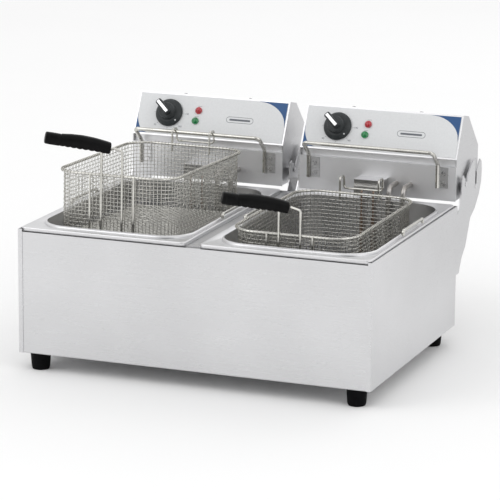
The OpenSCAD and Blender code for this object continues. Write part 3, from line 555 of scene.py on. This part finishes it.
class FRYER_OT_finish(bpy.types.Operator):
    """Give every CAD node the finish of its material slot"""

    bl_idname = "fryer.finish"
    bl_label = "Finish the metalwork"

    def execute(self, context):
        made = finishes(context.scene.fryer_finish)
        context.scene["fryer_finishes"] = {slot: m.name for slot, m in made.items()}
        for part in frame["record"]["subparts"]:
            node = frame["nodes"][part["node"]]
            if not node.material_slots:
                node.data.materials.append(None)
            polished = part["node"].endswith("heater_guard")
            for slot in node.material_slots:
                slot.material = made["guard_polish" if polished else part["material_slot"]]
        return {"FINISHED"}


def tank_rows(outline, well, top, floor, s):
    """Rows of a pressed tank from the rim's turned-down edge over the lip to the floor.
    Each row is a loop at an inset from the rim's outline or from the well's, at a height;
    round parts follow a quarter circle."""
    half, middle, drop = outline
    w_half, w_middle = well
    a = np.radians(np.linspace(0, 90, 7))
    rows = [("rim", 0, top - drop)]
    rows += [("rim", s.rim_edge * (1 - np.cos(x)), top - s.rim_edge * (1 - np.sin(x))) for x in a]
    rows += [("well", -s.lip * np.cos(x), top - s.lip * (1 - np.cos(np.pi / 2 - x))) for x in a]
    rows += [("well", 0, top - WALL_START)]
    foot = s.well_foot
    rows += [("well", foot * (1 - np.cos(x)), floor + foot * (1 - np.sin(x))) for x in a]
    rows += [("well", w_half[0] * share, floor) for share in (0.6, 0.98)]
    loops = []
    for kind, inset, z in rows:
        if kind == "rim":
            size, centre, r = half, middle, s.rim_corner
        else:
            size, centre, r = w_half, w_middle, s.well_corner
        r = max(r - inset, LEAST_RADIUS)
        loop, _ = rounded_rect(size[0] - inset, size[1] - inset, r, 12, 10)
        loops.append(np.column_stack([loop + centre, np.full(len(loop), z)]))
    return np.stack(loops)


class FRYER_OT_tanks(bpy.types.Operator):
    """Press the two tanks: a flat rim, a rolled lip and a round-cornered well, with the sheet's thickness"""

    bl_idname = "fryer.tanks"
    bl_label = "Press the tanks"

    def execute(self, context):
        s = context.scene.fryer_tank
        for side in SIDES:
            node = f"{side}_tank"
            co = corners_of(node)
            low, high = co.min(0), co.max(0)
            bottom = co[co[:, 2] < low[2] + NEAR_FLOOR]
            w_low, w_high = bottom.min(0), bottom.max(0)
            rim = ((high - low)[:2] / 2, ((high + low) / 2)[:2], RIM_SKIRT)
            well = ((w_high - w_low)[:2] / 2 - s.thick, ((w_high + w_low) / 2)[:2])
            loops = tank_rows(rim, well, high[2], low[2] + s.thick, s)
            rows, cols = loops.shape[:2]
            floor = np.arange(cols) + (rows - 1) * cols
            shape = loops.reshape(-1, 3), grid_faces(rows, cols)[:, ::-1], [floor]
            steel = finish_of("pressed_tank")
            obj = piece(f"{side}_tank_pressing", shape, steel, "casing", [node])
            wall = obj.modifiers.new("Sheet", "SOLIDIFY")
            wall.thickness = s.thick
            wall.offset = -1
        return {"FINISHED"}


class FRYER_OT_feet(bpy.types.Operator):
    """Turn the four rubber feet: a taper with a rounded sole, a hollow under it and a collar at the top"""

    bl_idname = "fryer.feet"
    bl_label = "Turn the feet"

    def execute(self, context):
        low, high = (np.array(c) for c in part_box("feet"))
        top = high[2]
        co = corners_of("feet")
        upper = co[co[:, 2] > top - 0.001]
        quarter = upper[(upper[:, 0] < 0) & (upper[:, 1] < 0)]
        r = np.ptp(quarter[:, 0]) / 2
        sole = r * 0.84
        profile = [
            (0, top), (r - 0.0005, top), (r, top - 0.0006), (r, top - 0.003), (r * 0.97, top - 0.0036),
            (sole + 0.0006, 0.004), (sole, 0.002), (sole - 0.0006, 0.0006), (sole - 0.002, 0.0),
            (sole * 0.62, 0.0), (sole * 0.58, 0.0005), (sole * 0.55, 0.0025), (0, 0.0025),
        ]
        spin = lathe(profile, 48)
        places = [(x, y, 0) for x in (low[0] + r, high[0] - r) for y in (low[1] + r, high[1] - r)]
        shape = joined(*(placed(spin, at, np.eye(3)) for at in places))
        piece("rubber_feet", shape, finish_of("foot_rubber"), "casing", ["feet"])
        return {"FINISHED"}


def knob_shape():
    """A turned skirt and hub with a pointer bar: the skirt's profile is a step, a cone and rounded edges;
    the bar is a stack of rounded rectangles that draw in over its top edge."""
    turned = [
        (0, 17), (11.2, 17), (12.7, 16.5), (13.5, 15), (13.9, 9.2), (14.6, 8.2), (17.2, 8), (18.2, 7.7),
        (22.7, 3.9), (23.3, 3.2), (23.5, 2.4), (23.5, 0.5), (23.1, 0), (0, 0),
    ]
    rows = [(0, 1.0), (0, 21.8), (0.25, 23.0), (0.8, 23.8), (1.6, 24.2)]
    loops = []
    for inset, z in rows:
        loop, _ = rounded_rect(15.5 - inset, 5.25 - inset, 2.6 - inset * 0.6, 6, 4)
        loops.append(np.column_stack([loop + (6.5, 0), np.full(len(loop), z)]))
    skirt = lathe(turned, 96)
    bar = stacked(np.stack(loops))
    return skirt, bar


class FRYER_OT_knobs(bpy.types.Operator):
    """Mould the two thermostat knobs, with a white index dot on each skirt"""

    bl_idname = "fryer.knobs"
    bl_label = "Mould the knobs"

    def execute(self, context):
        s = context.scene.fryer_control
        for side in SIDES:
            origin, axes, _ = panel_place(side)
            centre, low, _ = knob_centre(side, origin, axes)
            insert_low, insert_high = local_box(f"{side}_knob_insert", axes)
            towards = ((insert_low + insert_high) / 2 - axes @ origin - centre)[:2]
            turn = math.atan2(towards[1], towards[0])
            c, d = math.cos(turn), math.sin(turn)
            spin = np.array([[c, d, 0], [-d, c, 0], [0, 0, 1]])
            base = origin + np.array([centre[0], centre[1], low[2]]) @ axes
            skirt, bar = ((p * MM, q, f) for p, q, f in knob_shape())
            shape = placed(joined(skirt, bar), base, spin @ axes)
            node = f"{side}_knob"
            black = finish_of("knob_black")
            piece(f"{side}_knob_moulding", shape, black, node, [node])
            dot = lathe([(0, 0.0004), (s.index * 0.8, 0.0003), (s.index, 0), (0, -0.0004)], 20)
            slope = math.radians(SKIRT_SLOPE)
            out = np.array([-math.sin(slope), 0, math.cos(slope)])
            lean = np.stack([np.cross([0, -1, 0], out), [0, -1, 0], out])
            at = np.array(INDEX_PLACE) @ spin @ axes + base
            dot = placed(dot, at, lean @ spin @ axes)
            piece(f"{side}_knob_index", dot, finish_of("printed_panel"), node)
        return {"FINISHED"}


def corner_print(corner, width, height):
    """A corner of the film outside a quarter ellipse, which is tangent to both edges
    at the given width and height from the corner."""
    t = np.linspace(0, np.pi / 2, 25)
    arc = np.column_stack([width * (1 - np.sin(t)), height * (1 - np.cos(t))])
    outline = np.concatenate([[[0, 0]], arc]) + corner
    middle = np.array([width, height]) * 0.12 + corner
    return outline, middle


def ring_outline(half_w, half_h, r, thick):
    """A closed frame of one thickness round a rounded rectangle, as two matching loops."""
    outer, _ = rounded_rect(half_w, half_h, r, 8, 4)
    inner, _ = rounded_rect(half_w - thick, half_h - thick, r - thick, 8, 4)
    return outer, inner


def frame_shape(outer, inner, low, high):
    """A flat ring between two loops: top, outer wall, underside and inner wall as one closed grid."""
    n = len(outer)
    rows = [(inner, low), (inner, high), (outer, high), (outer, low)]
    points = np.concatenate([np.column_stack([loop, np.full(n, z)]) for loop, z in rows])
    return points, grid_faces(4, n, True), []


def digits(text, height, low, thick):
    """Numbers as a flat mesh of the given height, centred, with its thickness."""
    curve = bpy.data.curves.new("digits", "FONT")
    curve.body = text
    curve.size = height * 1.4
    curve.extrude = thick / 2
    curve.resolution_u = 3
    curve.align_x = "CENTER"
    curve.align_y = "CENTER"
    obj = bpy.data.objects.new("digits", curve)
    bpy.context.scene.collection.objects.link(obj)
    bpy.context.view_layer.update()
    graph = bpy.context.evaluated_depsgraph_get()
    mesh = bpy.data.meshes.new_from_object(obj.evaluated_get(graph))
    co = np.empty(len(mesh.vertices) * 3)
    mesh.vertices.foreach_get("co", co)
    faces = [np.array(p.vertices) for p in mesh.polygons]
    bpy.data.objects.remove(obj)
    bpy.data.meshes.remove(mesh)
    points = co.reshape(-1, 3) + (0, 0, low + thick / 2)
    return points, np.zeros((0, 4), int), faces


class FRYER_OT_printing(bpy.types.Operator):
    """Print the control films: blue corners, dial ticks and numbers, and a plain capsule mark"""

    bl_idname = "fryer.printing"
    bl_label = "Print the control films"

    def execute(self, context):
        s = context.scene.fryer_control
        blue = printed("corner_blue", context.scene.fryer_finish.corner)
        ink = printed("dial_ink", (0.12, 0.13, 0.15))
        for side in SIDES:
            origin, axes, size = panel_place(side)
            half, tall, film = size[0] / 2, size[1], size[2]
            low, high = film - PRINT_BEDDING, film + s.print_height
            corners = []
            for at, width, height in (
                ((-half + 0.0002, 0.0002), 0.022, 0.036),
                ((half - 0.0002, tall - 0.0002), -0.052, -0.042),
            ):
                outline, middle = corner_print(np.array(at), width, height)
                corners.append(flat_shape(outline, middle, low, high))
            shape = placed(joined(*corners), origin, axes)
            piece(f"{side}_corner_print", shape, blue, f"{side}_head")
            centre, _, _ = knob_centre(side, origin, axes)
            marks = []
            for angle in (180, 225, 270, 315, 0):
                a = math.radians(angle)
                tick, _ = rounded_rect(0.0011, 0.00022, 0.0002, 3, 2)
                turn = np.array([[math.cos(a), math.sin(a)], [-math.sin(a), math.cos(a)]])
                tick = (tick + (DIAL_RADIUS, 0)) @ turn + centre[:2]
                marks.append(flat_shape(tick, tick.mean(0), low, high))
            for angle, text in ((225, "90"), (270, "130"), (315, "160"), (0, "190")):
                a = math.radians(angle)
                reach = DIAL_RADIUS + (0.0036 if angle == 270 else 0.0052)
                points, quads, faces = digits(text, s.digit, low, high - low)
                at = np.array([reach * math.cos(a), reach * math.sin(a), 0]) + (*centre[:2], 0)
                marks.append((points + at, quads, faces))
            for name in ("red", "green"):
                box = local_box(f"{side}_{name}_lamp", axes)
                x, y = ((box[0] + box[1]) / 2 - axes @ origin)[:2]
                label, _ = rounded_rect(0.0035, 0.00025, 0.0002, 3, 2)
                label = label + (x + 0.001, y + 0.0078)
                marks.append(flat_shape(label, label.mean(0), low, high))
            outer, inner = ring_outline(0.024, 0.0052, 0.0051, 0.0007)
            capsule = frame_shape(outer, inner, low, high)
            middle = np.array(CAPSULE_PLACE)
            bar, _ = rounded_rect(0.0185, 0.0016, 0.0015, 6, 4)
            marks.append((capsule[0] + middle, capsule[1], capsule[2]))
            marks.append(flat_shape(bar + middle[:2], middle[:2], low, high))
            shape = placed(joined(*marks), origin, axes)
            piece(f"{side}_dial_print", shape, ink, f"{side}_head")
        return {"FINISHED"}


def weave(size, s):
    """Woven tray in its own axes, Z = 0 at the rim wire.
    Upright wires: a hook round the rim, then outwards and inwards by turns at every crossing,
    then a quarter circle into the base.
    Ring wires: the wall's loop at each crossing's height, moved the other way.
    Base wires: straight runs between the loop's edges, raised by a cosine of the place
    with opposite signs for the two directions."""
    amp = s.wire * 1.05
    half_w, half_l, deep = size[0] / 2 - TRAY_WALL / 2, size[1] / 2 - TRAY_WALL / 2, size[2]
    loop, out, _ = spaced(*rounded_rect(half_w, half_l, s.corner), 720)
    around = spaced(loop, out, 720)[2]
    count = 2 * round(around / s.pitch / 2)
    loop, out, _ = spaced(loop, out, count)
    levels = int((deep - s.foot) // s.pitch)
    sign = np.where(np.arange(count) % 2 == 0, 1.0, -1.0)

    hem_r = s.rim + s.wire
    a = np.radians([-55, -10, 35, 80, 125, 168])
    hem = np.column_stack([RIM_OFFSET + hem_r * np.cos(a), hem_r * np.sin(a)])
    step = np.arange(1, levels + 1)
    b = np.radians([-15, -45, -75, -90])
    foot = np.column_stack([s.foot * (np.cos(b) - 1), -deep + s.wire + s.foot * (1 + np.sin(b))])
    foot = np.concatenate([foot, [[-s.foot - 0.003, -deep + s.wire]]])
    offset = np.concatenate(
        [
            np.broadcast_to(hem[:, 0], (count, len(hem))),
            amp * sign[:, None] * np.where(step % 2 == 0, 1.0, -1.0),
            np.broadcast_to(foot[:, 0], (count, len(foot))),
        ],
        1,
    )
    height = np.concatenate([hem[:, 1], -step * s.pitch, foot[:, 1]])
    upright = np.concatenate(
        [
            loop[:, None] + out[:, None] * offset[:, :, None],
            np.broadcast_to(height[None, :, None], (count, len(height), 1)),
        ],
        2,
    )
    tangent = np.column_stack([-out[:, 1], out[:, 0], np.zeros(count)])[:, None]

    sway = -amp * sign[None] * np.where(step % 2 == 0, 1.0, -1.0)[:, None]
    rings = np.concatenate(
        [
            loop[None] + out[None] * sway[:, :, None],
            np.broadcast_to(-step[:, None, None] * s.pitch, (levels, count, 1)),
        ],
        2,
    )
    base_z = -deep + s.wire + amp
    edge_w, edge_l, edge_r = half_w - s.foot, half_l - s.foot, s.corner - s.foot
    edge, _, _ = spaced(*rounded_rect(edge_w, edge_l, edge_r), 240)
    frame_wire = np.column_stack([edge, np.full(240, -deep + s.wire * 2)])[None]

    def runs(reach, length, along_y, phase):
        """Parallel wires across the base: each ends on the round-cornered edge."""
        lanes = np.arange(-int(reach / s.pitch), int(reach / s.pitch) + 1) * s.pitch
        past = np.clip(np.abs(lanes) - (reach - edge_r), 0, edge_r)
        ends = length - edge_r + np.sqrt(edge_r**2 - past**2)
        t = np.linspace(-1, 1, 2 * int(2 * length / s.pitch))
        there = ends[:, None] * t
        lane = np.broadcast_to(lanes[:, None], there.shape)
        odd = np.where(np.arange(len(lanes)) % 2 == 0, 1.0, -1.0)[:, None]
        z = base_z + phase * amp * odd * np.cos(np.pi * there / s.pitch)
        xy = (lane, there) if along_y else (there, lane)
        return np.stack([*xy, z], -1)

    return joined(
        wires(upright, s.wire, tangent, s.sides),
        wires(rings, s.wire, (0, 0, 1), s.sides, True),
        wires(frame_wire, s.wire * 1.8, (0, 0, 1), 6, True),
        wires(runs(edge_w, edge_l, True, 1), s.wire, (1, 0, 0), 4),
        wires(runs(edge_l, edge_w, False, -1), s.wire, (0, 1, 0), 4),
    )


class FRYER_OT_baskets(bpy.types.Operator):
    """Weave the two baskets' walls and bases of round wire, hooked over their rims"""

    bl_idname = "fryer.baskets"
    bl_label = "Weave the baskets"

    def execute(self, context):
        s = context.scene.fryer_basket
        for side in SIDES:
            origin, axes, size = basket_place(side)
            shape = placed(weave(size, s), origin, axes)
            node = f"{side}_basket_mesh"
            wire, body = finish_of("basket_wire"), f"{side}_basket"
            piece(f"{side}_basket_weave", shape, wire, body, [node], 80)
        return {"FINISHED"}


def grip_shape(length, s):
    """Moulded grip along X from the wires' end to the tip.
    Each station is a rounded square of its own half width, top and bottom: the top swells,
    the bottom carries a row of ridges, a groove marks where the end piece joins,
    and a shallow patch is sunk into the end piece's side."""
    stations, around = 150, 40
    ends = 0.002 * np.arange(1, 8)
    by_groove = GRIP_JOINT + np.array([-0.006, -0.003, 0.003, 0.006])
    x = np.sort(np.concatenate([np.linspace(0, 1, stations), by_groove, ends, 1 - ends]))
    knots = [0, 0.06, 0.25, 0.45, 0.62, 0.76, 0.77, 0.9, 1]
    half = np.interp(x, knots, np.array([9.0, 9.3, 10.2, 10.6, 10.2, 9.3, 9.2, 9.3, 8.9]) * MM)
    top = np.interp(x, knots, np.array([9.0, 9.6, 11.0, 11.6, 11.0, 9.8, 9.5, 9.6, 9.2]) * MM)
    under = np.interp(x, knots, np.array([9.0, 9.2, 10.0, 10.4, 9.9, 9.1, 9.2, 9.4, 9.1]) * MM)
    window = np.clip((x - 0.10) / 0.06, 0, 1) * np.clip((0.74 - x) / 0.06, 0, 1)
    phase = (x - 0.10) / 0.64 * s.ridges
    under = under - window * s.ridge * (1 - np.abs(np.cos(np.pi * phase)) ** 0.7) * 1.6
    groove = np.exp(-(((x - GRIP_JOINT) * length / 0.0006) ** 2)) * 0.0007
    soft = 0.0022
    end = np.minimum(x, 1 - x) * length
    pull = soft * (1 - np.sqrt(1 - (1 - np.clip(end / soft, 0, 1)) ** 2))
    a = np.linspace(0, 2 * np.pi, around, endpoint=False)
    power = 2 / 2.5
    cos = np.sign(np.cos(a)) * np.abs(np.cos(a)) ** power
    sin = np.sign(np.sin(a)) * np.abs(np.sin(a)) ** power
    inset = (groove + pull)[:, None]
    y = (half[:, None] - inset) * cos
    reach = np.where(sin > 0, top[:, None], under[:, None]) - inset
    z = reach * sin + (s.arch * np.sin(np.pi * np.clip(x / 0.77, 0, 1)))[:, None]
    patch = np.clip((x - 0.82) / 0.015, 0, 1) * np.clip((0.95 - x) / 0.015, 0, 1)
    flank = np.clip((np.abs(np.cos(a)) - 0.8) / 0.1, 0, 1)
    y = y - np.sign(y) * patch[:, None] * flank * 0.0007
    points = np.stack([np.broadcast_to((x * length)[:, None], y.shape), y, z], -1)
    rows = len(x)
    first = np.arange(around)
    quads = grid_faces(rows, around)[:, ::-1]
    return points.reshape(-1, 3), quads, [first[::-1], first + (rows - 1) * around]


class FRYER_OT_grips(bpy.types.Operator):
    """Mould the two basket grips, with finger ridges and a joined end piece"""

    bl_idname = "fryer.grips"
    bl_label = "Mould the grips"

    def execute(self, context):
        s = context.scene.fryer_grip
        for side in SIDES:
            node = f"{side}_basket_grip"
            co = np.unique(corners_of(node).round(6), axis=0)
            middle = co.mean(0)
            along = np.linalg.svd(co - middle)[2][0]
            along = facing(node, along if along[1] < 0 else -along)
            up = np.array([0, 0, 1.0]) - along * along[2]
            up /= np.linalg.norm(up)
            axes = np.stack([along, np.cross(up, along), up])
            low, high = local_box(node, axes)
            centre = (low + high) / 2
            origin = np.array([low[0], centre[1], high[2] - 0.012]) @ axes
            shape = placed(grip_shape(high[0] - low[0], s), origin, axes)
            body = f"{side}_basket"
            piece(f"{side}_grip_moulding", shape, finish_of("grip_black"), body, [node], 50)
        return {"FINISHED"}


def area_light(name, at, size, power, target=(0, 0, 0.15)):
    """A square soft light turned towards a point."""
    data = bpy.data.lights.new(name, "AREA")
    data.energy, data.size = power, size
    obj = bpy.data.objects.new(name, data)
    bpy.context.scene.collection.objects.link(obj)
    away = np.array(at, float) - target
    away /= np.linalg.norm(away)
    side = np.cross((0, 0, 1), away)
    side /= np.linalg.norm(side)
    matrix = np.eye(4)
    matrix[:3, :3] = np.stack([side, np.cross(away, side), away], 1)
    matrix[:3, 3] = at
    obj.matrix_world = Matrix(matrix.tolist())
    return obj


def stage_card(name, corners, finish, seen):
    """A flat card from four corners; unless seen, it shows in reflections only."""
    mesh = bpy.data.meshes.new(name)
    mesh.from_pydata(corners, [], [(0, 1, 2, 3)])
    mesh.materials.append(finish)
    obj = bpy.data.objects.new(name, mesh)
    bpy.context.scene.collection.objects.link(obj)
    if not seen:
        obj.visible_camera = obj.visible_diffuse = False
        obj.visible_shadow = obj.visible_transmission = False
    return obj


class FRYER_OT_stage(bpy.types.Operator):
    """Set the pale floor, the soft lights, the reflection cards and the camera"""

    bl_idname = "fryer.stage"
    bl_label = "Set the stage"

    def execute(self, context):
        s = context.scene.fryer_stage
        scene = context.scene
        scene.view_settings.view_transform = "Standard"
        world = bpy.data.worlds.new("studio")
        world.use_nodes = True
        background = world.node_tree.nodes["Background"]
        background.inputs["Color"].default_value = (1, 1, 1, 1)
        background.inputs["Strength"].default_value = s.world
        scene.world = world
        floor = Finish("studio_floor", s.floor, 0.9)
        floor.colours(floor.noise(2.0), [(0.3, shade(s.floor, 0.99)), (0.7, s.floor)])
        reach = 12
        corners = [(-reach, -reach, 0), (reach, -reach, 0), (reach, reach, 0), (-reach, reach, 0)]
        stage_card("floor", corners, floor.material, True)
        glow = {"Emission Color": (1, 1, 1, 1), "Emission Strength": s.card}
        grey = Finish("grey_card", (0, 0, 0), 0.9, **glow)
        corners = [(0.46, 0.25, 0), (0.30, 1.3, 0), (0.30, 1.3, 0.6), (0.46, 0.25, 0.6)]
        stage_card("right_card", corners, grey.material, False)
        black = Finish("black_card", (0.03, 0.03, 0.03), 0.9)
        corners = [(-0.9, -6.4, 0.5), (4.2, -4.4, 0.5), (4.2, -4.4, 3.4), (-0.9, -6.4, 3.4)]
        stage_card("front_card", corners, black.material, False)
        area_light("key", (-2.4, -2.6, 3.2), 2.6, s.key)
        area_light("fill", (3.2, -1.6, 2.6), 2.2, s.key * 0.45)
        area_light("back", (0.4, 3.2, 3.0), 2.6, s.key * 0.4)
        data = bpy.data.cameras.new("camera")
        data.lens, data.sensor_width = s.lens, 36
        data.clip_start, data.clip_end = 0.1, 100
        camera = bpy.data.objects.new("camera", data)
        scene.collection.objects.link(camera)
        yaw, pitch, roll = (math.radians(v) for v in CAMERA_TURN)
        level = math.cos(pitch)
        forward = np.array([-math.sin(yaw) * level, math.cos(yaw) * level, -math.sin(pitch)])
        right = np.array([math.cos(yaw), math.sin(yaw), 0])
        up = np.cross(right, forward)
        matrix = np.eye(4)
        matrix[:3, 0] = right * math.cos(roll) + up * math.sin(roll)
        matrix[:3, 1] = up * math.cos(roll) - right * math.sin(roll)
        matrix[:3, 2] = -forward
        matrix[:3, 3] = CAMERA_PLACE
        camera.matrix_world = Matrix(matrix.tolist())
        scene.camera = camera
        return {"FINISHED"}


OPERATORS = (
    FRYER_OT_finish,
    FRYER_OT_tanks,
    FRYER_OT_feet,
    FRYER_OT_knobs,
    FRYER_OT_printing,
    FRYER_OT_baskets,
    FRYER_OT_grips,
    FRYER_OT_stage,
)
SETTINGS = {
    "fryer_finish": FryerFinishSettings,
    "fryer_tank": FryerTankSettings,
    "fryer_basket": FryerBasketSettings,
    "fryer_grip": FryerGripSettings,
    "fryer_control": FryerControlSettings,
    "fryer_stage": FryerStageSettings,
}


class FRYER_PT_build(bpy.types.Panel):
    """Lists the fryer's build steps and settings"""

    bl_label = "Deep Fryer"
    bl_idname = "FRYER_PT_build"
    bl_space_type = "VIEW_3D"
    bl_region_type = "UI"
    bl_category = "Fryer"

    def draw(self, context):
        for name, group in SETTINGS.items():
            box = self.layout.box()
            for key in group.__annotations__:
                box.prop(getattr(context.scene, name), key)
        for operator in OPERATORS:
            self.layout.operator(operator.bl_idname)


def register():
    for cls in (*SETTINGS.values(), *OPERATORS, FRYER_PT_build):
        bpy.utils.register_class(cls)
    for name, group in SETTINGS.items():
        setattr(bpy.types.Scene, name, PointerProperty(type=group))


def unregister():
    for name in SETTINGS:
        delattr(bpy.types.Scene, name)
    for cls in reversed((*SETTINGS.values(), *OPERATORS, FRYER_PT_build)):
        bpy.utils.unregister_class(cls)


def main():
    register()
    for operator in OPERATORS:
        group, name = operator.bl_idname.split(".")
        getattr(getattr(bpy.ops, group), name)()


if __name__ == "__main__":
    main()
